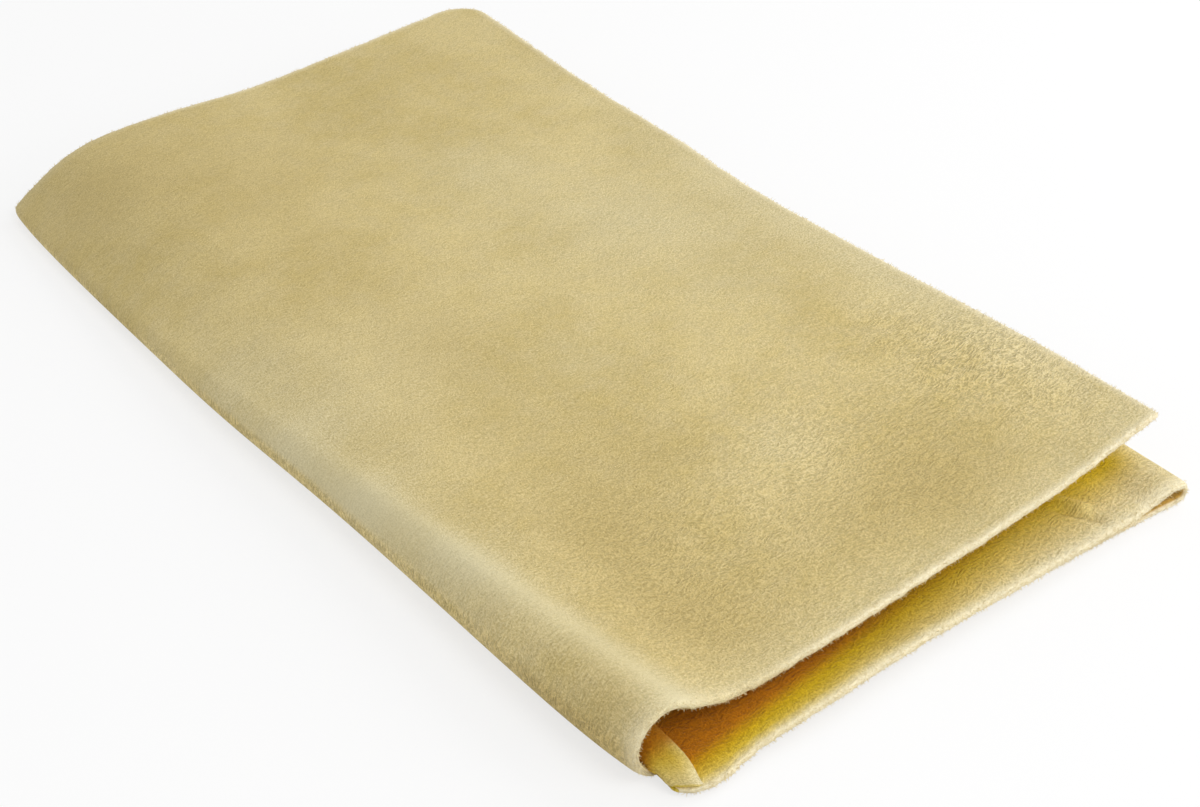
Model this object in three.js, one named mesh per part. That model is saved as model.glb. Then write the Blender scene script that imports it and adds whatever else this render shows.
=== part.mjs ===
// A chamois leather: one soft skin, folded in three like a letter and laid on a table.
//
// The base panel lies on the table. The top flap comes over it from the spine fold on the left. The inner
// flap comes back from the side fold on the right and lies between the two, and its free edge, inside the
// spine, is turned back in a narrow hem. Each region of the skin between two fold lines is a mesh of its
// own, lofted about one mid-thickness line that runs through the whole skin.
//
// Millimetres. +Z is up, the spine is on -X and the near end, where the layers show, is on -Y.

import * as THREE from "three";
import { LoftGeometry } from "three/addons/geometries/LoftGeometry.js";

// The skin
const LEATHER_THICKNESS = 1.7;
const LAYER_GAP = 0.3; // air between two layers that lie on each other
const REGION_GAP = 0.3; // air between two regions of the skin where they meet
const LEATHER_COLOUR = 0xcdba86;
const LEATHER_ROUGHNESS = 0.92;

// Plan sizes, over the outside of the folds
const SKIN_LENGTH = 225; // along the spine
const FOLDED_WIDTH = 130.5; // spine to side fold
const TOP_FLAP_WIDTH = 127; // spine to free edge
const HEM_NEAR_INSET = 4.5; // spine to the inner flap's hem, at the near end
const HEM_FAR_INSET = 12; // spine to the inner flap's hem, at the far end
const SPINE_STRIP = 14; // width of the strip that bends at the spine
const SIDE_STRIP = 13; // width of the strip that bends at the side fold
const FAR_CORNER_RADIUS = 9; // worn corner of the top flap

// How far each layer reaches past the near end of the top flap's free corner
const SPINE_TOP_REACH = 1;
const SPINE_FOOT_REACH = 1.2;
const BASE_SIDE_REACH = 6;
const INNER_SIDE_REACH = 7.2;
const HEM_REACH = 5.6;
const NOSE_REACH = 3; // added where the inner flap bulges beside the spine

// How far each layer reaches past the far end of the top flap
const SIDE_FOLD_FAR_REACH = 2;
const HEM_FAR_REACH = -1.5;

// Folds: radii and heights are to the middle of the leather
const SPINE_RADIUS = 6.4; // of the round part of the spine, at the near end
const SPINE_BOW = 2.6; // most that the spine bulges to the left
const SPINE_END_TUCK = 1.7; // how far the two ends of the spine draw in
const SPINE_END_LENGTH = 9; // length over which they do so
const TOP_FLAP_HEIGHT = 12; // usual height of the top flap over the table
const SIDE_FOLD_RADIUS = 1.55;
const SIDE_FOLD_RISE = 12; // degrees that the upper layer rises by as it leaves the side fold
const HEM_WIDTH = 5;
const HEM_GAP = 0.6;
const INNER_CROWN = 0.7; // rise of the inner flap between its two ends
const NOSE_DROOP = 1.6; // drop of the inner flap's near edge past the base panel
const NOSE_WIDTH = 32;
const NOSE_LENGTH = 4.2;

// Four lofting sections, evenly spaced from the near end to the far end.
// bow: bulge of the spine, as a share of the most.
// radius: of the round part of the spine, as a share of that at the near end.
// opening: degrees that the leather climbs by where it leaves the round part.
// heights: of the top flap at the stations, as shares of its usual height.
const TOP_STATIONS = [0, 0.08, 0.22, 0.45, 0.72, 1]; // shares of the way from the spine to the free edge
const SECTIONS = [
  { bow: 0.58, radius: 1, opening: -30, heights: [0.925, 0.69, 0.667, 0.825, 1.017, 1.45] },
  { bow: 0.54, radius: 0.78, opening: -2, heights: [0.967, 0.892, 0.85, 0.883, 0.983, 1.142] },
  { bow: 1, radius: 0.47, opening: 20, heights: [0.942, 0.992, 0.975, 0.933, 0.975, 1.05] },
  { bow: 0.62, radius: 0.2, opening: 33, heights: [0.892, 1.05, 1.075, 1, 1.158, 1.342] },
];

// Mesh steps
const LENGTH_STEPS = 18;
const TOP_STEPS = 20;
const SPINE_ARC_STEPS = 9;
const SPINE_RISE_STEPS = 5;
const SIDE_ARC_STEPS = 7;
const SIDE_RISE_STEPS = 6;
const INNER_STEPS = 12;
const HEM_ARC_STEPS = 6;
const HEM_STEPS = 2;
const NOSE_STEPS = 3;

const HALF_THICKNESS = LEATHER_THICKNESS / 2;
const BASE_HEIGHT = HALF_THICKNESS;
const INNER_HEIGHT = LEATHER_THICKNESS + LAYER_GAP + HALF_THICKNESS;
const SIDE_LINE = FOLDED_WIDTH - SIDE_STRIP;
const HEM_RADIUS = (LEATHER_THICKNESS + HEM_GAP) / 2;
const INNER_FLAP_LENGTH = SKIN_LENGTH + HEM_REACH + HEM_FAR_REACH;

const { degToRad, lerp, smoothstep } = THREE.MathUtils;

// Smooth value at a share of the length, through one value from each lofting section.
function alongLength(share, valueOf) {
  const stations = SECTIONS.map((section, index) => new THREE.Vector2(index, valueOf(section)));
  return new THREE.SplineCurve(stations).getPoint(share).y;
}

// Points of a curve at even steps of its parameter, after the first few that a gap takes.
function curvePoints(curve, steps, gapAtStart = 0, gapAtEnd = 0) {
  const length = curve.getLength();
  const points = [];
  for (let step = 0; step <= steps; step += 1) {
    points.push(curve.getPoint(step / steps));
  }
  if (gapAtStart > 0) {
    points[0] = curve.getPointAt(gapAtStart / length);
  }
  if (gapAtEnd > 0) {
    points[steps] = curve.getPointAt(1 - gapAtEnd / length);
  }
  return points;
}

// Cubic curve that leaves one point in one direction and arrives at another in a second direction.
function easeCurve(from, leaving, to, arriving) {
  const pull = from.distanceTo(to) * 0.38;
  const first = from.clone().addScaledVector(leaving, pull);
  const second = to.clone().addScaledVector(arriving, -pull);
  return new THREE.CubicBezierCurve(from, first, second, to);
}

// Top flap, from its free edge to the spine strip. Steps are closest at the free edge.
function topFlapLine(share) {
  const stations = TOP_STATIONS.map((station, index) => {
    const across = lerp(SPINE_STRIP, TOP_FLAP_WIDTH, station);
    const height = alongLength(share, (section) => section.heights[index]);
    return new THREE.Vector2(across, height * TOP_FLAP_HEIGHT);
  });
  const curve = new THREE.SplineCurve(stations.reverse());
  const points = [];
  for (let step = 0; step <= TOP_STEPS; step += 1) {
    points.push(curve.getPointAt((step / TOP_STEPS) ** 1.5));
  }
  return { points, arriving: curve.getTangent(1) };
}

// How far the spine lies to the left of a straight line: its bulge, less the draw of its two ends.
function spineBow(share) {
  const nearTuck = Math.exp((-share * SKIN_LENGTH) / SPINE_END_LENGTH);
  const farTuck = Math.exp((-(1 - share) * SKIN_LENGTH) / SPINE_END_LENGTH);
  return SPINE_BOW * alongLength(share, (section) => section.bow) - SPINE_END_TUCK * (nearTuck + farTuck);
}

// Spine fold, from the top flap round to the base panel.
function spineFoldLine(share, start, leaving) {
  const radius = SPINE_RADIUS * alongLength(share, (section) => section.radius);
  const bow = spineBow(share);
  const opening = degToRad(alongLength(share, (section) => section.opening));
  const centre = new THREE.Vector2(radius + HALF_THICKNESS - bow, radius + BASE_HEIGHT);
  const arcStart = Math.PI / 2 + opening;
  const arc = new THREE.EllipseCurve(centre.x, centre.y, radius, radius, arcStart, Math.PI * 1.5);
  const intoArc = new THREE.Vector2(-Math.cos(opening), -Math.sin(opening));
  const slope = easeCurve(start, leaving, arc.getPoint(0), intoArc);
  const foot = new THREE.LineCurve(arc.getPoint(1), new THREE.Vector2(SPINE_STRIP, BASE_HEIGHT));
  return [
    ...curvePoints(slope, SPINE_RISE_STEPS, REGION_GAP),
    ...curvePoints(arc, SPINE_ARC_STEPS).slice(1),
    ...curvePoints(foot, 2, 0, REGION_GAP).slice(1),
  ];
}

// Base panel, flat on the table.
function basePanelLine() {
  return [new THREE.Vector2(SPINE_STRIP, BASE_HEIGHT), new THREE.Vector2(SIDE_LINE, BASE_HEIGHT)];
}

// Side fold, from the base panel round to the inner flap.
function sideFoldLine() {
  const centre = new THREE.Vector2(
    FOLDED_WIDTH - HALF_THICKNESS - SIDE_FOLD_RADIUS,
    BASE_HEIGHT + SIDE_FOLD_RADIUS,
  );
  const rise = degToRad(SIDE_FOLD_RISE);
  const arc = new THREE.EllipseCurve(
    centre.x, centre.y, SIDE_FOLD_RADIUS, SIDE_FOLD_RADIUS, -Math.PI / 2, Math.PI / 2 - rise,
  );
  const foot = new THREE.LineCurve(new THREE.Vector2(SIDE_LINE, BASE_HEIGHT), arc.getPoint(0));
  const outOfArc = new THREE.Vector2(-Math.cos(rise), Math.sin(rise));
  const inner = new THREE.Vector2(SIDE_LINE, INNER_HEIGHT);
  const slope = easeCurve(arc.getPoint(1), outOfArc, inner, new THREE.Vector2(-1, 0));
  return [
    ...curvePoints(foot, 2, REGION_GAP),
    ...curvePoints(arc, SIDE_ARC_STEPS).slice(1),
    ...curvePoints(slope, SIDE_RISE_STEPS, 0, REGION_GAP).slice(1),
  ];
}

// Inner flap, from the side fold to the hem that is turned back at its free edge.
function innerFlapLine(share) {
  const hemInset = lerp(HEM_NEAR_INSET, HEM_FAR_INSET, share);
  const hemLine = hemInset + HALF_THICKNESS + HEM_RADIUS;
  const fromNearEdge = share * INNER_FLAP_LENGTH;
  const droop = NOSE_DROOP * (1 - smoothstep(fromNearEdge, 0, NOSE_LENGTH));
  const points = [];
  for (let step = 0; step <= INNER_STEPS; step += 1) {
    const across = lerp(SIDE_LINE, hemLine, (step / INNER_STEPS) ** 0.7);
    const crown = INNER_CROWN * Math.sin((step / INNER_STEPS) * Math.PI) ** 2;
    const nose = droop * (1 - smoothstep(across - hemLine, 0, NOSE_WIDTH));
    points.push(new THREE.Vector2(across, INNER_HEIGHT + crown - nose));
  }
  const hemHeight = INNER_HEIGHT - droop + HEM_RADIUS;
  const arc = new THREE.EllipseCurve(
    hemLine, hemHeight, HEM_RADIUS, HEM_RADIUS, Math.PI * 1.5, Math.PI / 2, true,
  );
  const hemEnd = new THREE.Vector2(hemInset + HEM_WIDTH, hemHeight + HEM_RADIUS);
  const hem = new THREE.LineCurve(arc.getPoint(1), hemEnd);
  points.push(...curvePoints(arc, HEM_ARC_STEPS).slice(1));
  points.push(...curvePoints(hem, HEM_STEPS).slice(1));
  return points;
}

// Extra reach of the inner flap's near edge beside the hem.
function noseReach(across) {
  const fromHem = across - HEM_NEAR_INSET;
  return NOSE_REACH * Math.exp(-(((fromHem - NOSE_WIDTH * 0.3) / (NOSE_WIDTH * 0.4)) ** 2));
}

// How far the worn far corner of the top flap is cut back.
function cornerCut(across) {
  const intoCorner = FAR_CORNER_RADIUS - (TOP_FLAP_WIDTH - across);
  if (intoCorner <= 0) {
    return 0;
  }
  const inside = Math.min(intoCorner, FAR_CORNER_RADIUS);
  return FAR_CORNER_RADIUS - Math.sqrt(FAR_CORNER_RADIUS ** 2 - inside ** 2);
}

// The five regions in their order through the skin, with the near and far ends of each of their sides.
const REGIONS = [
  { name: "top_flap", near: [0, -SPINE_TOP_REACH], far: [0, 0], cut: cornerCut },
  { name: "spine_fold", near: [-SPINE_TOP_REACH, -SPINE_FOOT_REACH], far: [0, 0] },
  {
    name: "base_panel",
    near: [-SPINE_FOOT_REACH, -BASE_SIDE_REACH],
    far: [0, SIDE_FOLD_FAR_REACH],
    flat: true,
  },
  {
    name: "side_fold",
    near: [-BASE_SIDE_REACH, -INNER_SIDE_REACH],
    far: [SIDE_FOLD_FAR_REACH, SIDE_FOLD_FAR_REACH],
  },
  {
    name: "inner_flap",
    near: [-INNER_SIDE_REACH, -HEM_REACH],
    far: [SIDE_FOLD_FAR_REACH, HEM_FAR_REACH],
    reach: noseReach,
  },
];

// One row of the middle of the leather, across the whole skin, as a list of points for each region.
function skinRow(share) {
  const top = topFlapLine(share);
  const lines = [
    top.points,
    spineFoldLine(share, top.points[TOP_STEPS], top.arriving),
    basePanelLine(),
    sideFoldLine(),
    innerFlapLine(share),
  ];
  return lines.map((line, index) => {
    const region = REGIONS[index];
    const cut = region.cut ?? (() => 0);
    const reach = region.reach ?? (() => 0);
    return line.map((point, column) => {
      const across = column / (line.length - 1);
      const near = lerp(region.near[0], region.near[1], across) - reach(point.x);
      const far = SKIN_LENGTH + lerp(region.far[0], region.far[1], across) - cut(point.x);
      return new THREE.Vector3(point.x, lerp(near, far, share), point.y);
    });
  });
}

// Shares of the length at which the rows lie, with a few close ones at the near edge.
function rowShares() {
  const noseShare = NOSE_LENGTH / INNER_FLAP_LENGTH;
  const shares = [];
  for (let step = 0; step < NOSE_STEPS; step += 1) {
    shares.push((step / NOSE_STEPS) * noseShare);
  }
  for (let step = 0; step <= LENGTH_STEPS; step += 1) {
    shares.push(lerp(noseShare, 1, step / LENGTH_STEPS));
  }
  return shares;
}

// Direction from the inside of the folds to the outside, at one point of the whole grid of rows.
function outwardAt(rows, row, column) {
  const before = rows[row][Math.max(column - 1, 0)];
  const after = rows[row][Math.min(column + 1, rows[row].length - 1)];
  const nearer = rows[Math.max(row - 1, 0)][column];
  const farther = rows[Math.min(row + 1, rows.length - 1)][column];
  const across = after.clone().sub(before);
  const along = farther.clone().sub(nearer);
  return along.cross(across).normalize();
}

// Closed leather body of one region: both faces of the skin, joined round its edges.
// A flat region is lofted straight from its near end to its far end.
function regionGeometry(rows, firstColumn, lastColumn, flat) {
  const sections = rows.map((points, row) => {
    const inside = [];
    const outside = [];
    for (let column = firstColumn; column <= lastColumn; column += 1) {
      const offset = outwardAt(rows, row, column).multiplyScalar(HALF_THICKNESS);
      inside.push(points[column].clone().sub(offset));
      outside.push(points[column].clone().add(offset));
    }
    return [...inside, ...outside.reverse()];
  });
  const lofted = flat ? [sections[0], sections.at(-1)] : sections;
  return new LoftGeometry(lofted, { capStart: true, capEnd: true });
}

function buildLeather() {
  const material = new THREE.MeshStandardMaterial({
    name: "chamois_leather",
    color: LEATHER_COLOUR,
    roughness: LEATHER_ROUGHNESS,
    metalness: 0,
  });
  const rowsByRegion = rowShares().map(skinRow);
  const rows = rowsByRegion.map((regions) => regions.flat());
  const leather = new THREE.Group();
  let firstColumn = 0;
  REGIONS.forEach((region, index) => {
    const lastColumn = firstColumn + rowsByRegion[0][index].length - 1;
    const mesh = new THREE.Mesh(regionGeometry(rows, firstColumn, lastColumn, region.flat), material);
    mesh.name = region.name;
    leather.add(mesh);
    firstColumn = lastColumn + 1;
  });
  return leather;
}

// The folded leather stands on Z = 0 with the middle of its outline over the origin.
const leather = buildLeather();
const box = new THREE.Box3().setFromObject(leather);
const middle = box.getCenter(new THREE.Vector3());
leather.position.set(-middle.x, -middle.y, -box.min.z);

const chamois = new THREE.Group();
chamois.name = "chamois_leather";
chamois.add(leather);

export default chamois;
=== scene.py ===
# The look of a chamois leather: one soft skin, folded in three like a letter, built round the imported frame.
#
# Lengths are in millimetres until a mesh is made. "Across" runs through the whole skin: from the top flap's
# free edge, round the spine fold, along the base, round the side fold and along the inner flap to its hem.
# "Along" runs from the near end, where the layers show, to the far end.

import math

import bpy
import numpy as np
from mathutils import Matrix, Vector, noise


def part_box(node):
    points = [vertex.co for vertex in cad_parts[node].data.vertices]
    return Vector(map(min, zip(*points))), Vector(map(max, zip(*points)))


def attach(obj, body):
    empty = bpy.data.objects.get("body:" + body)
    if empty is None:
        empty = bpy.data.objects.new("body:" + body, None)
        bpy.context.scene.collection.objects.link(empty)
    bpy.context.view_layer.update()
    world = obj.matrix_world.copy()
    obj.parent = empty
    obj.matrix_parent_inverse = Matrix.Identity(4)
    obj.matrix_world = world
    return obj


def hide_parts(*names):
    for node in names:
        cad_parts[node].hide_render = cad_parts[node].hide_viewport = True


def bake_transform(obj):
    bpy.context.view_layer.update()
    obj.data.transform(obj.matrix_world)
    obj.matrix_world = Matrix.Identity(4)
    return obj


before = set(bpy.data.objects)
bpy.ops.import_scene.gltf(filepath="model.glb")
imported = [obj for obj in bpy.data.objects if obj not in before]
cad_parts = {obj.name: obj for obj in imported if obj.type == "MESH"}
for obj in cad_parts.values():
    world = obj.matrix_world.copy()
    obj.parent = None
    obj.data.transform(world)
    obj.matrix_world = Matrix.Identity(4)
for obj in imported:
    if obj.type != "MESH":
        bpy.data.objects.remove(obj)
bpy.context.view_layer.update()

MM = 0.001

# The skin, as in the part
LEATHER_THICKNESS = 1.7
LAYER_GAP = 0.3
SKIN_LENGTH = 225
FOLDED_WIDTH = 130.5
TOP_FLAP_WIDTH = 127
HEM_NEAR_INSET = 4.5
HEM_FAR_INSET = 12
SPINE_STRIP = 14
SIDE_STRIP = 13
FAR_CORNER_RADIUS = 9

# How far each layer reaches past the top flap's near and far ends, as in the part
SPINE_TOP_REACH = 1
SPINE_FOOT_REACH = 1.2
BASE_SIDE_REACH = 6
INNER_SIDE_REACH = 7.2
HEM_REACH = 5.6
NOSE_REACH = 3
SIDE_FOLD_FAR_REACH = 2
HEM_FAR_REACH = -1.5

# Folds, as in the part: radii and heights are to the middle of the leather. The nose is the bulge of the
# inner flap beside the spine, with its middle and spread as shares of its width.
SPINE_RADIUS = 6.4
SPINE_BOW = 2.6
SPINE_END_TUCK = 1.7
TOP_FLAP_HEIGHT = 12
SIDE_FOLD_RADIUS = 1.55
SIDE_FOLD_RISE = 12
HEM_WIDTH = 5
INNER_CROWN = 0.7
CROWN_LEAN = 0.7
NOSE_DROOP = 1.6
NOSE_WIDTH = 32
NOSE_LENGTH = 4.2
NOSE_MIDDLE = 0.3
NOSE_SPREAD = 0.4
TOP_STATIONS = [0, 0.08, 0.22, 0.45, 0.72, 1]
SECTIONS = [
    {"bow": 0.58, "radius": 1, "opening": -30, "heights": [0.925, 0.69, 0.667, 0.825, 1.017, 1.45]},
    {"bow": 0.54, "radius": 0.78, "opening": -2, "heights": [0.967, 0.892, 0.85, 0.883, 0.983, 1.142]},
    {"bow": 1, "radius": 0.47, "opening": 20, "heights": [0.942, 0.992, 0.975, 0.933, 0.975, 1.05]},
    {"bow": 0.62, "radius": 0.2, "opening": 33, "heights": [0.892, 1.05, 1.075, 1, 1.158, 1.342]},
]

HALF_THICKNESS = LEATHER_THICKNESS / 2
BASE_HEIGHT = HALF_THICKNESS
INNER_HEIGHT = LEATHER_THICKNESS + LAYER_GAP + HALF_THICKNESS
SIDE_LINE = FOLDED_WIDTH - SIDE_STRIP
SIDE_CENTRE = FOLDED_WIDTH - HALF_THICKNESS - SIDE_FOLD_RADIUS
INNER_FLAP_LENGTH = SKIN_LENGTH + HEM_REACH + HEM_FAR_REACH

# The part's origin, from the frame: the middle of the folded outline
base_low, base_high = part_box("base_panel")
ORIGIN = np.array([
    SPINE_STRIP - base_low.x / MM,
    SKIN_LENGTH + SIDE_FOLD_FAR_REACH - base_high.y / MM,
    0,
])

# The seams of the three pieces, hidden on the base
SPINE_SEAM_NEAR = 9.5
SPINE_SEAM_FAR = 4.3
SIDE_SEAM_INSET = 1
SIDE_SEAM = SIDE_CENTRE - SIDE_SEAM_INSET

# How the soft skin leaves the plain one of the part: its edges, and the slope, ends and bow of the spine
SOFT_SIDE_REACH = 1.35
SOFT_INNER_REACH = [1, 0.7, -0.2, 1.6, 1.9, 1.5, 1, 0.7, 0.5, 0.4, 0.4, 0.3, 0.1, 0.1]
SOFT_FAR_REACH = 0.35
SOFT_NEAR_TUCK = 0.35
SOFT_END_LENGTH = 12
SOFT_SLOPE_START = 19.5
SOFT_BOW = 0.5
SOFT_BOW_MIDDLE = 125
SOFT_BOW_LENGTH = 26
FREE_EDGE_DRIFT = [-0.4, 0.8, 0.4, -0.7, 0.8, -0.2, 0]
FREE_EDGE_FADE = 8

# The hem as the hand pressed it: flat on the inner flap, and pinched together at the near end
HEM_PRESSED_RADIUS = 0.9
HEM_SINK = 0.5
PINCH = 0.45
PINCH_LENGTH = 7
PINCH_WIDTH = 10
PINCH_THINNING = 0.5
HEM_SETBACK = 0.5
HEM_FLARE = 1.2
HEM_FLARE_MIDDLE = 5
HEM_FLARE_LENGTH = 2.5
NOSE_CORNER = 3.6
NOSE_CORNER_WIDTH = 6

# Small folds in the inner flap: (start, end, height, half width), seen from above
SMALL_FOLDS = [
    ((105.8, 5.9), (108.7, 0.2), 1.1, 1.3),
    ((105.1, 2.3), (108.9, -4.1), -0.8, 0.9),
]

# Grid steps
GRID = 0.9
INNER_GRID = 0.9
NEAR_ZONE = 40
NEAR_GRID = 0.8
FAR_GRID = 1.4
BASE_STEPS = 46
CUT_EDGE_STEPS = [0, 0.15, 0.4, 0.9, 1.8, 3]
SPINE_SLOPE_STEPS = 20
SPINE_ARC_STEPS = 28
SPINE_FOOT_STEPS = 7
SIDE_ARC_STEPS = 20
SIDE_SLOPE_STEPS = 12
HEM_ARC_STEPS = 14
FINE_POINTS = 500

# Pull of an easing curve, as a share of the way between its ends
EASE_PULL = 0.38

# Hand-made irregularity of the skin: heights, and lengths of their waves
EDGE_WAVE = 0.2
EDGE_WAVE_LENGTH = 17
EDGE_NICK = 0.22
EDGE_NICK_LENGTH = 1.9
HEM_WRINKLE = 0.08
HEM_WRINKLE_ACROSS = 1.4
HEM_WRINKLE_ALONG = 9
HEM_RIDGE = 0.5
HEM_RIDGE_PLACE = 1.9
HEM_RIDGE_WIDTH = 0.7

# Swells, ripples and dimples: (height, wave length, layer of the noise). On the top they grow with the
# upward slope of the leather, and on the inner flap from the side seam to the fold's end and a little on.
SWELLS = [(0.28, 46, 11.5), (0.07, 13, 12.5), (0.04, 5.5, 15.5)]
SWELL_SLOPE = (-0.2, 0.5)
INNER_SWELL = [0, 0.2, 0.8]
INNER_SWELL_COLUMNS = 20

# Where the others lie in the noise, so that no two share a pattern: cut edges are (row, layer)
EDGE_NOISE = {"near": (0, 0.5), "far": (90, 2.5), "free": (40, 13.5)}
WRINKLE_LAYER = 16.5
RIM_LAYER = 21.5

# Cut edges. From the spine fold on to the side fold they are rounder and thinner, after a ramp of so many
# grid columns before and after the top flap's end. Tones run from 0 to 1, which is palest.
EDGE_ROUNDING = 0.65
EDGE_THINNING = 0.72
FOLD_ROUNDING = 2
FOLD_THINNING = 0.4
FOLD_RAMP = (20, 14)
RIM_DEPTHS = [0.2, 0.5, 0.8]
RIM_BULGE = 0.16
RIM_ROUGHNESS = 0.2
RIM_GRAIN = 0.7
FRAY_WIDTH = 1.6
FRAY_FALL = 1.5
FOLD_FRAY_WIDTH = 4
INSIDE_FRAY_WIDTH = 0.4
FRINGE_WIDTH = 0.6
INNER_EDGE_TONE = 0.85
SPINE_EDGE_TONE = 0.3
SPINE_EDGE_REACH = (22, 48)
WALL_EDGE_TONE = 0.35
WALL_EDGE_REACH = (1, 7)

# Places in the UV map, which lies in real size: the outside, the inside beside it and the rims above
UV_MARGIN = 20
UV_INSIDE = 500
UV_RIM = 300

# Wear and painted light and shade, seen from above: reaches are (start, end), ramps (start, end, strength),
# lines (offset, slope) and patches (across, along, radius, strength)
FACING_UP = (0, 0.4)

# Gold: painted shade of the gap under the top flap. Its line on the inner flap is (across, start, end), where
# the painted shade begins and where it is full, and it grows weaker further in. On the skin's inside it is a
# deeper gold that leaves out the spine fold, with ramps of so many grid columns before the fold's start and
# end.
GOLD_SHADE_LINE = [
    (0, -11, -4),
    (16, -12.5, -4.8),
    (38, -11, -3.6),
    (50, -9, -1.6),
    (64, -9.3, 1.2),
    (92, -8, 6.3),
    (106, -6.6, 7.2),
    (131, 0, 6.5),
]
GOLD_SHADE_SIDE = (122, 131)
SHELTER_DEPTH = 0.25
SHELTER_REACH = (6, 40)
SHELTER_FOLD = (14, 6)
INSIDE_GOLD = 0.5

# Painted brown shade of the deepest part of the gap
BROWN_LINE = (-5, 0.115)
BROWN_START = -3.3
BROWN_END = 0.7
BROWN_HEM = 5
BROWN_SPINE = (42, 72, 0.6)
BROWN_REACH = (4, 13)
BROWN_SIDE = (100, 112, 0.4)

# Tones of the hem: painted gold and deep shade, and paler along its cut edge and at the nose
HEM_GOLD_SHADE = 0.85
HEM_SHADE = 0.55
HEM_PALE = 0.45
HEM_PALE_WIDTH = 1.7
HEM_TIP_PALE = 0.5
HEM_TIP_REACH = (0.5, 5)

# The shoulder of the spine, rubbed smooth with less nap and grain, and paler: rubbed pale and a painted
# highlight
SHOULDER_LINE = (11.2, -0.131)
SHOULDER_WIDTH = 4.4
SHOULDER_FADE = (70, 150)
SHOULDER_PALE = 0.55
SHOULDER_SMOOTH = 0.6

# Paler tone: painted light on the inner flap towards the side. Paler along the free and near edges, along the
# inner flap's near edge and in patches; the patches at across 1 and 2 carry the shoulder's painted highlight
# further along
PALE_MOST = 0.9
FREE_EDGE_PALE = 0.55
FREE_EDGE_PALE_WIDTH = 10
FREE_EDGE_PALE_MIDDLE = 85
FREE_EDGE_PALE_REACH = 85
NEAR_EDGE_PALE = 0.3
NEAR_EDGE_PALE_WIDTH = 6
INNER_PAINTED_LIGHT = (72, 105, 0.35)
INNER_EDGE_PALE = 0.7
INNER_EDGE_PALE_WIDTH = 2
PALE_PATCHES = [
    (99, 122, 15, 0.3),
    (110, 106, 9, 0.2),
    (100, 90, 12, 0.25),
    (71, 43, 9, 0.25),
    (85, 160, 13, 0.35),
    (58, 88, 9, 0.2),
    (18, 110, 26, 0.2),
    (2, 50, 12, 0.35),
    (92, 128, 24, 0.2),
    (2, 78, 10, 0.35),
    (1, 102, 11, 0.4),
    (1, 126, 10, 0.35),
]

# Deep tone, mostly painted shade: in the sag beside the spine, on the inner flap under the top flap, on the
# spine's near wall and on the hem. The band beside the spine is (middle, width, strength). Most patches near
# the open end, and the one on the far-left slope, paint shade; the others are deeper tone.
INNER_SHADE = (84, 56, 0.75)
DEEP_REACH = (5, 20)
WALL_SHADE = (45, 15, 1)
DEEP_SHADE_BAND = (30, 24, 0.35)
DEEP_PATCHES = [
    (50, 57, 11, 0.25),
    (30, 44, 13, 0.45),
    (26, 20, 12, 0.45),
    (0.5, 5, 8, 0.65),
    (40, 108, 11, 0.2),
    (12, 206, 17, 0.45),
    (51, 190, 24, 0.25),
    (96, 202, 24, 0.15),
    (34, 10, 12, 0.2),
    (62, 18, 14, 0.3),
    (84, 16, 18, 0.75),
    (88, 46, 10, 0.15),
]

# Pebbled grain
PEBBLED_EVERYWHERE = 0.25
PEBBLED_WALL = 0.8
PEBBLED_NEAR = 0.16
PEBBLED_REACH = (30, 90)
INNER_PEBBLED = 0.3
PEBBLED_PATCHES = [
    (116, 36, 11, 0.9),
    (112, 54, 9, 0.3),
    (118, 17, 9, 0.35),
    (75, 34, 20, 0.25),
    (39, 28, 14, 0.2),
]

# Nap: short fibres that lie together in slow swirls, and crinkles where the leather is pebbled
SWIRL_SIZE = 10
SWIRL_PULL = 4
NAP_WIDTH = 0.3
NAP_LENGTH = 0.5
NAP_FAR = 0.65
NAP_FADE = (40, 200)
FUZZ_SIZE = 0.17
PEBBLE_WIDTH = 0.75
PEBBLE_LENGTH = 1.75
PEBBLE_MIDDLE = 0.1
PEBBLE_FOOT = -0.03

# Mottling, and the ranges of noise over which one tone turns into the next
NOISE_MIDDLE = 0.5
BLOTCH_SIZE = 30
BLOTCH_RANGE = (0.35, 0.65)
PATCH_SIZE = 6
PATCH_RANGE = (0.35, 0.7)
PATCH_STRENGTH = 0.5
NAP_RANGE = (0.3, 0.7)
EDGE_RANGE = (0.35, 0.65)

# Surfaces: bumps are (strength, rise), and the leather is roughest in the hollows of its nap
PEBBLE_BUMP = (0.9, 1)
NAP_BUMP = (0.8, 0.16)
FUZZ_BUMP = (0.7, 0.1)
ROUGHNESS_RANGE = (0.2, 0.8)
HOLLOW_ROUGHNESS = 0.98
TIP_ROUGHNESS = 0.8
LEATHER_SPECULAR = 0.15
SHEEN = 0.08
SHEEN_ROUGHNESS = 0.5
FIBRE_ROUGHNESS = 0.9
FIBRE_SPECULAR = 0.2

# Colours, as light reflected
BUFF_DEEP = (0.568, 0.464, 0.204, 1)
BUFF_PALE = (0.656, 0.55, 0.278, 1)
BUFF_GREY = (0.605, 0.516, 0.292, 1)
# Pale tone: rubbed places, painted highlights and painted light
BUFF_PALE_AND_HIGHLIGHT = (0.69, 0.63, 0.425, 1)
# Deep tone, used mostly as painted shade
BUFF_DEEP_AND_SHADE = (0.48, 0.38, 0.16, 1)
# Nap and crinkle tints follow their bumps: the nap's own tone, with painted shade in the hollows and a
# painted highlight on the tips
NAP_HOLLOW = (0.86, 0.83, 0.74, 1)
NAP_TIP = (1.17, 1.19, 1.28, 1)
PEBBLE_HOLLOW = (0.94, 0.92, 0.84, 1)
PEBBLE_TIP = (1.3, 1.27, 1.2, 1)
# Gold tint: painted shade of the gap under the top flap, and a deeper gold on the skin's inside
GOLD_TINT = (0.91, 0.76, 0.02, 1)
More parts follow.
